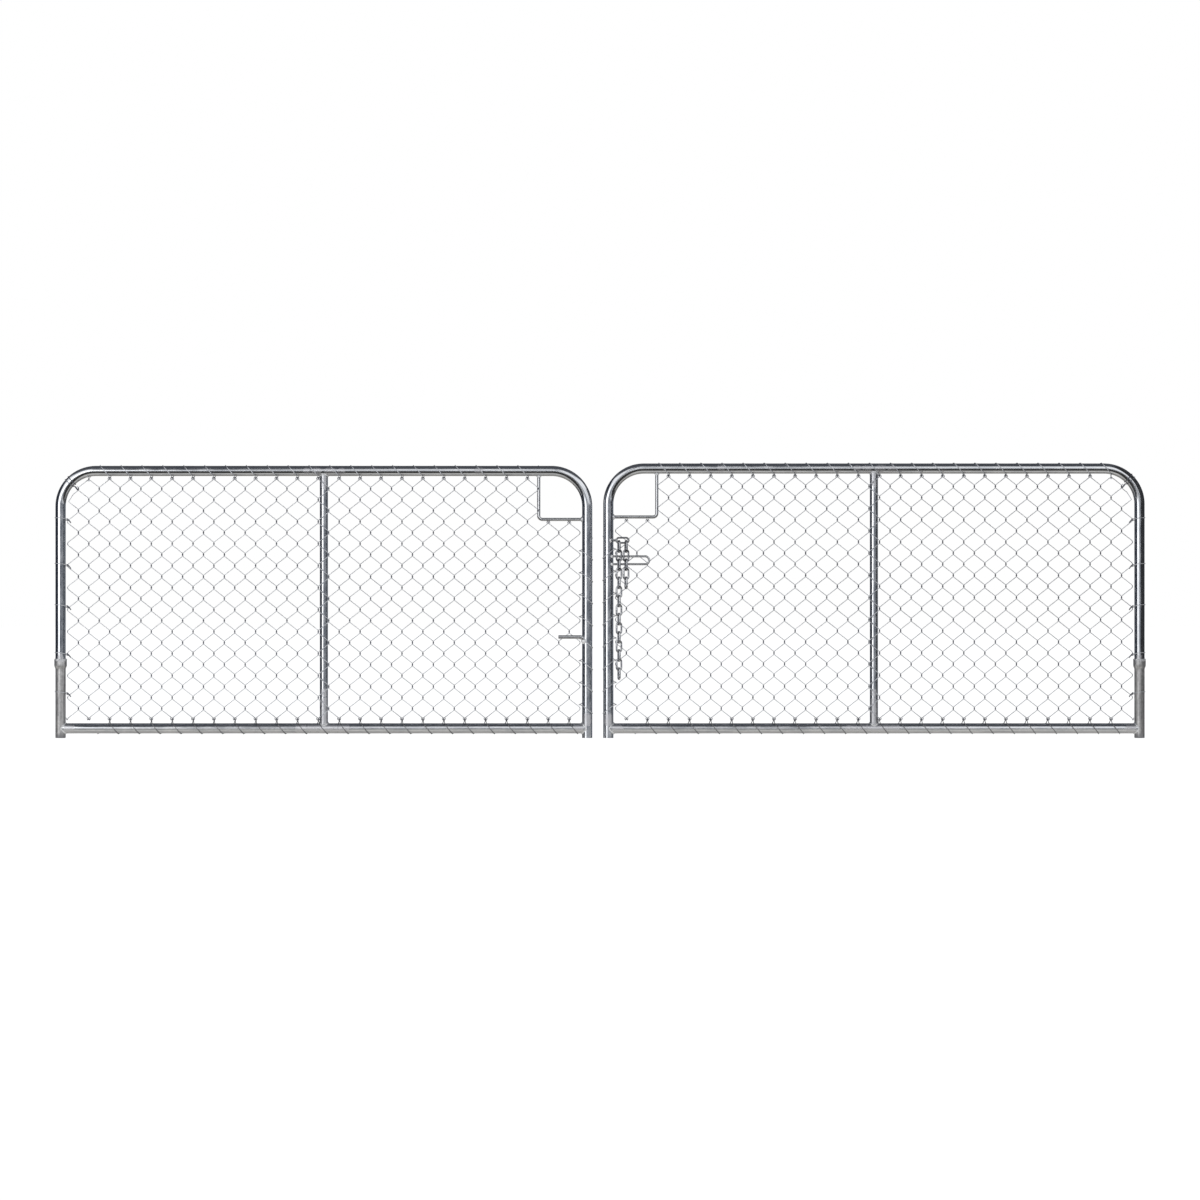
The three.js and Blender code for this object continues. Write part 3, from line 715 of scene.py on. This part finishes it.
def join_strands(name, strands, radius, sides):
    """Many wires as one piece."""
    made = [swept(f"{name}_{number}", strand, radius, sides=sides) for number, strand in enumerate(strands)]
    points, grains, faces = [], [], []
    for strand in made:
        mesh = strand.data
        start = sum(len(block) for block in points)
        block = np.empty(len(mesh.vertices) * 3)
        mesh.vertices.foreach_get("co", block)
        grain = np.empty(len(mesh.vertices) * 3)
        mesh.attributes["grain"].data.foreach_get("vector", grain)
        points.append(block.reshape(-1, 3))
        grains.append(grain.reshape(-1, 3) + (0, 0, start * 0.01))
        faces += [[corner + start for corner in face.vertices] for face in mesh.polygons]
        bpy.data.objects.remove(strand)
        bpy.data.meshes.remove(mesh)
    mesh = bpy.data.meshes.new(name)
    mesh.from_pydata(np.concatenate(points).tolist(), [], faces)
    grain = mesh.attributes.new("grain", "FLOAT_VECTOR", "POINT")
    grain.data.foreach_set("vector", np.concatenate(grains).reshape(-1))
    mesh.set_sharp_from_angle(angle=math.radians(80))
    piece = bpy.data.objects.new(name, mesh)
    bpy.context.collection.objects.link(piece)
    return piece


for leaf, its in tube.items():
    low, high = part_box(f"{leaf}_mesh")
    near = min(abs(low[0] - its["hinge"]), abs(high[0] - its["hinge"]))
    far = max(abs(low[0] - its["hinge"]), abs(high[0] - its["hinge"]))
    columns = round((far - near) / HALF_DIAMOND)
    rows = 2 * round((high[2] - low[2]) / HALF_HEIGHT / 2)
    across, down = (far - near) / columns, (high[2] - low[2]) / rows
    stay_at = abs(its["stay"] - its["hinge"])
    rod_at = abs(its["rod_x"] - its["hinge"])
    fold = -low[1] - 4 * MESH_WIRE
    its.update(near=near, far=far, across=across, down=down, mesh_low=low[2], mesh_high=high[2])
    hole_column = int((rod_at - near) / across + 0.15)
    hole_row = math.ceil((high[2] - its["rod_z"]) / down)
    strands = []
    for wire in range(columns):
        even_side = wire if wire % 2 == 0 else wire + 1
        first_row = 0 if wire < hole_column else hole_row
        line = []
        for row in range(first_row, rows + 1):
            at_even = row % 2 == 0
            column = even_side if at_even else (2 * wire + 1 - even_side)
            inward = 1 if column == wire else -1
            line.append((near + column * across - inward * MESH_WIRE, high[2] - row * down))
        bends = []
        for (u, z), (next_u, next_z) in zip(line, line[1:]):
            bends.append((u, z, 0.0))
            side = -1.0 if next_u > u else 1.0
            for share, shift, depth in WIRE_SHAPE:
                bends.append((u + (next_u - u) * shift, z + (next_z - z) * share, side * MESH_WIRE * depth))
        bends.append((*line[-1], 0.0))
        rail_bend = its["rail"] - BEND_RADIUS
        clear = BEND_RADIUS - near
        kept = [
            (u, z, y) for u, z, y in bends
            if not (u < BEND_RADIUS and z > rail_bend and math.hypot(u - BEND_RADIUS, z - rail_bend) > clear)
        ]
        if len(kept) < 4:
            continue
        u, z, y = kept[0]
        way = 1 if kept[1][0] < u else -1
        top = [(u + way * aside, z + beyond, forward) for aside, beyond, forward in reversed(KNUCKLE)]
        u, z, y = kept[-1]
        way = 1 if kept[-2][0] < u else -1
        bottom = [(u + way * aside, z - beyond, forward) for aside, beyond, forward in KNUCKLE]
        strand = []
        for u, z, y in top + kept + bottom:
            held = -2 * MESH_WIRE - fold * (1 - min(1.0, abs(u - stay_at) / stay_at))
            strand.append((its["hinge"] + its["hand"] * u, y + held, z))
        strands.append(strand)
    woven = join_strands(f"{leaf}_chain_mesh", strands, MESH_WIRE, 6)
    # The wires are painted darker within a few millimetres of each row of knots, more widely along the top and
    # bottom edges: painted shade where the wires wind round each other.
    heights = np.array([point.co.z for point in woven.data.vertices])
    from_row = (high[2] - heights) / down
    from_row = np.abs(from_row - np.round(from_row)) * down
    at_edge = np.minimum(high[2] - heights, heights - low[2]) < 0.012
    knot_shade = np.clip(1.5 - from_row / np.where(at_edge, 0.0075, 0.004), 0, 1)
    woven.data.attributes.new("knot_shade", "FLOAT", "POINT").data.foreach_set("value", knot_shade)
    woven.data.materials.append(wire_zinc)
    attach(woven, f"{leaf}_leaf")
    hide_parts(f"{leaf}_mesh")

# ---------------------------------------------------------------------------------------------------
# Lacing: soft galvanised wire wound round the rails and the latch stile, once for each diamond, holds
# the edge of the mesh. It is drawn down to each knuckle and back up behind the tube.
# ---------------------------------------------------------------------------------------------------
LACING_WIRE = 0.0013
LACING_CLEARANCE = 0.0002
LACING_STEPS = 22
LACING_END = 0.032
lacing_zinc = zinc("lacing_zinc", (0.5, 0.52, 0.55), (0.84, 0.85, 0.88), (0.28, 0.42), runs=0.4, metallic=0.7)
# The bottom lacing is a darker copy of the lacing zinc: painted shade along the bottom rail, while the top and latch
# lacing stay light.
lacing_painted_shade = zinc("lacing_painted_shade", (0.10, 0.10, 0.105), (0.34, 0.34, 0.35), (0.28, 0.42), runs=0.6, metallic=0.7)


def lacing_line(start, way, out, edge, turns, pitch, radius, front_share):
    """Loops round a tube, which go along it by way.

    Each leaves the tube's inner side, opposite to out, to reach the mesh's edge.
    """
    line = []
    for number in range(turns * LACING_STEPS + 1):
        whole = number / LACING_STEPS
        share = whole % 1.0
        angle = 2 * math.pi * share
        half = share * 2 % 1.0
        eased = 3 * half**2 - 2 * half**3
        along = front_share * eased if share < 0.5 else front_share + (1 - front_share) * eased
        nearness = max(0.0, -math.cos(angle)) ** 7
        reach = radius + (edge - radius) * nearness
        along = (int(whole) + along) * pitch
        forward = (0, radius * math.sin(angle) * (1 - 0.25 * nearness), 0)
        line.append([
            start[i] + way[i] * along + out[i] * reach * math.cos(angle) - forward[i]
            for i in range(3)
        ])
    return line


for leaf, its in tube.items():
    hand, radius = its["hand"], its["radius"]
    wound = radius + LACING_WIRE + LACING_CLEARANCE
    to_knuckle = its["rail"] - its["mesh_high"] + 0.001
    pitch = 2 * its["across"]
    last = int((its["far"] - its["near"]) / pitch + 0.4)
    knuckles = [its["hinge"] + hand * (its["near"] + number * pitch) for number in range(last + 1)]
    rod_at = abs(its["rod_x"] - its["hinge"])
    held = sorted(x for x in knuckles if 0.09 < abs(x - its["hinge"]) < rod_at - 0.005)
    lead = 0.46
    top = lacing_line(
        (held[0] - lead * pitch, 0, its["rail"]), (1, 0, 0), (0, 0, 1), to_knuckle, len(held), pitch, wound, lead,
    )
    top = [point for point in top if abs(point[0] - its["hinge"]) > BEND_RADIUS - LACING_END]
    for point in top:
        into_bend = max(0.0, BEND_RADIUS - abs(point[0] - its["hinge"]))
        point[2] -= BEND_RADIUS - math.sqrt(BEND_RADIUS**2 - into_bend**2)
    held = sorted(x for x in knuckles if 0.05 < abs(x - its["hinge"]) < its["span"] - 0.05)
    bottom = lacing_line(
        (held[-1] + lead * pitch * 0.9, 0, its["bottom"]), (-1, 0, 0), (0, 0, -1),
        its["mesh_low"] - its["bottom"] + 0.001, len(held) - 1, pitch, wound, lead * 0.9,
    )
    rise = 2 * its["down"]
    latch = lacing_line(
        (its["latch"], 0, its["mesh_low"] + 0.02), (0, 0, 1), (hand, 0, 0), its["span"] - its["far"] + 0.002,
        int((its["rod_z"] - its["mesh_low"] - 0.03) / rise), rise, wound, 0.4,
    )
    for name, line in (("top", top), ("bottom", bottom), ("latch", latch)):
        wire = swept(f"{leaf}_{name}_wire", line, LACING_WIRE, sides=8)
        wire.data.materials.append(lacing_painted_shade if name == "bottom" else lacing_zinc)
        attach(wire, f"{leaf}_leaf")
        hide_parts(f"{leaf}_{name}_lacing")

# ---------------------------------------------------------------------------------------------------
# Hinge ties: short lengths of the same wire hold the mesh to the hinge stile, one to every second row.
# Each goes round the stile and its two ends are twisted together at the mesh.
# ---------------------------------------------------------------------------------------------------
TIE_HEIGHTS = (0.145, 0.274, 0.432, 0.568, 0.719)
tie_zinc = zinc(
    "tie_zinc", (0.5, 0.52, 0.55), (0.84, 0.85, 0.88), (0.28, 0.42), runs=0.4, shade_and_dark_base="knot_shade", metallic=0.7
)
for leaf, its in tube.items():
    ties = []
    for z in TIE_HEIGHTS:
        around = its["radius"] + LACING_WIRE + LACING_CLEARANCE
        if z < its["lip"] + 0.004 and z > its["lip"] - 0.02:
            around = its["bell"] + LACING_WIRE
        loop = []
        for a in np.linspace(0.0, 2 * math.pi, 40):
            pull = max(0.0, math.cos(a)) ** 6
            reach = around + pull * 0.006
            loop.append((
                its["hinge"] + its["hand"] * reach * math.cos(a),
                -around * math.sin(a) * (1 - 0.4 * pull),
                z + 0.008 * math.sin(a / 2 + 0.3),
            ))
        ties.append(loop)
        for strand in (0.0, math.pi):
            twist = []
            for share in np.linspace(0, 1, 26):
                a = strand + share * 3.2 * 2 * math.pi
                spread_out = 0.0014 * (1 - 0.35 * share)
                u = around + 0.003 + 0.013 * share
                drop = -0.005 * share - 0.008 * share**2
                twist.append((
                    its["hinge"] + its["hand"] * (u + spread_out * math.cos(a) * 0.3),
                    -0.0035 - 0.002 * math.sin(share * math.pi) + spread_out * math.sin(a),
                    z + 0.004 + drop + spread_out * math.cos(a),
                ))
            ties.append(twist)
    for turn in (0.75, 0.85):
        way = np.array((-math.sin(turn), 0.0, math.cos(turn)))
        centre = np.array((BEND_RADIUS, 0.0, its["rail"] - BEND_RADIUS)) + BEND_RADIUS * way
        ties.append([
            (
                its["hinge"] + its["hand"] * (centre[0] - way[0] * around * math.cos(a)),
                -around * math.sin(a),
                centre[2] - way[2] * around * math.cos(a),
            )
            for a in np.linspace(0, 2 * math.pi, 36)
        ])
    for strand in (0.0, math.pi):
        ties.append([
            (
                its["hinge"] + its["hand"] * (0.047 + 0.011 * share + 0.0014 * math.cos(strand + share * 18)),
                -0.005 + 0.0014 * math.sin(strand + share * 18),
                its["rail"] - 0.050 - 0.014 * share,
            )
            for share in np.linspace(0, 1, 24)
        ])
    tied = join_strands(f"{leaf}_hinge_ties", ties, LACING_WIRE, 8)
    # The twisted ends of each tie are painted darker than its loop: painted shade where the two ends wind round each
    # other.
    inward = its["hand"] * (np.array([point.co.x for point in tied.data.vertices]) - its["hinge"])
    ends_only = np.clip((inward - its["radius"] - 0.003) / 0.004, 0, 1)
    tied.data.attributes.new("knot_shade", "FLOAT", "POINT").data.foreach_set("value", ends_only)
    tied.data.materials.append(tie_zinc)
    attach(tied, f"{leaf}_leaf")
    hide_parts(f"{leaf}_hinge_lacing")

# ---------------------------------------------------------------------------------------------------
# Chain hook: a short thick rod on the left latch stile, level across the front of the mesh, that takes
# a link of the chain. Its near end turns down and back to its weld on the stile.
# ---------------------------------------------------------------------------------------------------
low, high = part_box("left_chain_hook")
its = tube["left"]
HOOK_RADIUS = 0.006
hook_y = low[1] + HOOK_RADIUS * 0.965
hook_z = high[2] - HOOK_RADIUS
line = bent_line([
    (low[0] + 0.001, hook_y, hook_z),
    (its["latch"] - 0.019, hook_y, hook_z),
    (its["latch"] - 0.004, -0.010, hook_z - 0.018),
], 0.009, steps=10, spacing=0.008)
hook_radii = [HOOK_RADIUS] * len(line)
line = [(low[0], hook_y, hook_z)] + [tuple(point) for point in line]
hook_radii = [HOOK_RADIUS - 0.0012] + hook_radii
hook = swept("chain_hook", line, hook_radii, sides=24)
hook.data.materials.append(rod_zinc)
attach(hook, "left_leaf")
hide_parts("left_chain_hook")
hook_weld = round_blob("hook_weld", (its["latch"] - 0.011, -0.0145, hook_z - 0.0135), (0.0085, 0.006, 0.0085), 5.0)
hook_weld.data.materials.append(weld_silver)
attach(hook_weld, "left_leaf")

# ---------------------------------------------------------------------------------------------------
# Chain keeper: a hairpin of rod on the right latch stile with a narrow level slot, into which a link of
# the chain is dropped. Both of its ends are welded to the side of the stile.
# ---------------------------------------------------------------------------------------------------
low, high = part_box("right_chain_keeper")
its = tube["right"]
KEEPER_RADIUS = 0.0035
keeper_y = (low[1] + high[1]) / 2
level = (low[2] + high[2]) / 2
leg = (high[2] - low[2]) / 2 - KEEPER_RADIUS
end_x = high[0] - KEEPER_RADIUS
start_x = its["latch"] + 0.010
line = [(x, keeper_y, level + leg) for x in np.linspace(start_x, end_x - leg, 14)]
line += [
    (end_x - leg + leg * math.sin(a), keeper_y, level + leg * math.cos(a)) for a in np.linspace(0, math.pi, 22)[1:-1]
]
line += [(x, keeper_y, level - leg) for x in np.linspace(end_x - leg, start_x, 14)]
keeper = swept("chain_keeper", line, KEEPER_RADIUS, sides=18)
keeper.data.materials.append(rod_zinc)
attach(keeper, "right_leaf")
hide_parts("right_chain_keeper")
for number, side in enumerate((1, -1)):
    tack = round_blob(
        f"keeper_weld_{number + 1}", (its["latch"] + 0.0125, keeper_y - 0.001, level + side * leg),
        (0.006, 0.005, 0.0055), 6.0 + number,
    )
    tack.data.materials.append(weld_silver)
    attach(tack, "right_leaf")

# ---------------------------------------------------------------------------------------------------
# Latch chain: welded steel links, galvanised and gone dull. A lug on the right latch stile holds the
# long anchor link level, and a main strand and a short tail hang from it.
# ---------------------------------------------------------------------------------------------------
chain_zinc = zinc("chain_zinc", (0.22, 0.225, 0.24), (0.80, 0.81, 0.83), (0.08, 0.2), runs=0.7, relief=0.00004)
# The links within 10 cm of the top take a darker copy of the chain zinc: painted shade in the bunch of links there.
chain_painted_shade = zinc("chain_painted_shade", (0.05, 0.05, 0.06), (0.52, 0.53, 0.55), (0.08, 0.2), runs=0.9, relief=0.00004)
SHADED_LINKS_DROP = 0.10
CHAIN_WIRE = 0.003
WELD_AT, WELD_SWELL, WELD_EDGE_SWELL = 0.5, 1.1, 1.05
CHAIN_TWIST = math.radians(20)
CHAIN_SLACK = 0.00035
chain_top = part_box("chain_anchor_link")[1][2]


def chain_link(name, node, twist=0.0, slack=0.0):
    """One link in its node's place, with a swelled weld on one leg.

    It is turned by twist as it hangs, and is longer than its node by slack at each end, to swing freely.
    """
    low, high = (np.array(corner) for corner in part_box(node))
    size = high - low
    centre = (low + high) / 2
    order = np.argsort(size)
    thick, wide, long = order
    reach_long = size[long] / 2 + slack - CHAIN_WIRE
    reach_wide = size[wide] / 2 - CHAIN_WIRE
    straight = reach_long - reach_wide
    line, radii = [], []
    for end in (1, -1):
        for a in np.linspace(0, math.pi, 15):
            point = centre.copy()
            point[wide] += reach_wide * math.cos(a) * end
            point[long] += (straight + reach_wide * math.sin(a)) * end
            line.append(point)
            radii.append(CHAIN_WIRE)
        for share in (0.3, 0.42, 0.5, 0.58, 0.7):
            point = centre.copy()
            point[wide] -= reach_wide * end
            point[long] += straight * (1 - 2 * share) * end
            line.append(point)
            swell = 1.0
            if end == 1 and 0.4 < share < 0.6:
                swell = WELD_SWELL if share == WELD_AT else WELD_EDGE_SWELL
            radii.append(CHAIN_WIRE * swell)
    for point in line:
        x, y = point[0] - centre[0], point[1] - centre[1]
        point[0] = centre[0] + x * math.cos(twist) - y * math.sin(twist)
        point[1] = centre[1] + x * math.sin(twist) + y * math.cos(twist)
    link = swept(name, line, radii, sides=16, ring=True)
    # Links near the top get the darker copy, as painted shade.
    link.data.materials.append(chain_painted_shade if centre[2] > chain_top - SHADED_LINKS_DROP else chain_zinc)
    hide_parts(node)
    return link


for node in [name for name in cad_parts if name.startswith(("chain_link_", "tail_link_"))]:
    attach(chain_link(node.replace("_link_", "_ring_"), node, CHAIN_TWIST, CHAIN_SLACK), node)
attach(chain_link("anchor_ring", "chain_anchor_link"), "right_leaf")

low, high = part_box("chain_lug")
anchor_low, anchor_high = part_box("chain_anchor_link")
lug_z = (low[2] + high[2]) / 2
lug_y = (anchor_low[1] + anchor_high[1]) / 2
LUG_RADIUS = 0.004
lug_line = bent_line(
    [(its["latch"] + 0.003, -0.010, lug_z), (high[0] - 0.003, lug_y + 0.001, lug_z)], 1.0, spacing=0.003
)
lug = swept("chain_lug_bar", lug_line, LUG_RADIUS, sides=18)
lug.data.materials.append(rod_zinc)
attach(lug, "right_leaf")
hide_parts("chain_lug")
for number, (x, y, size) in enumerate([
    (its["latch"] + 0.008, -0.0155, (0.006, 0.005, 0.0065)),
    (high[0] - 0.004, lug_y + 0.003, (0.005, 0.004, 0.0058)),
]):
    tack = round_blob(f"lug_weld_{number + 1}", (x, y, lug_z), size, 8.0 + number)
    tack.data.materials.append(weld_silver)
    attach(tack, "right_leaf")
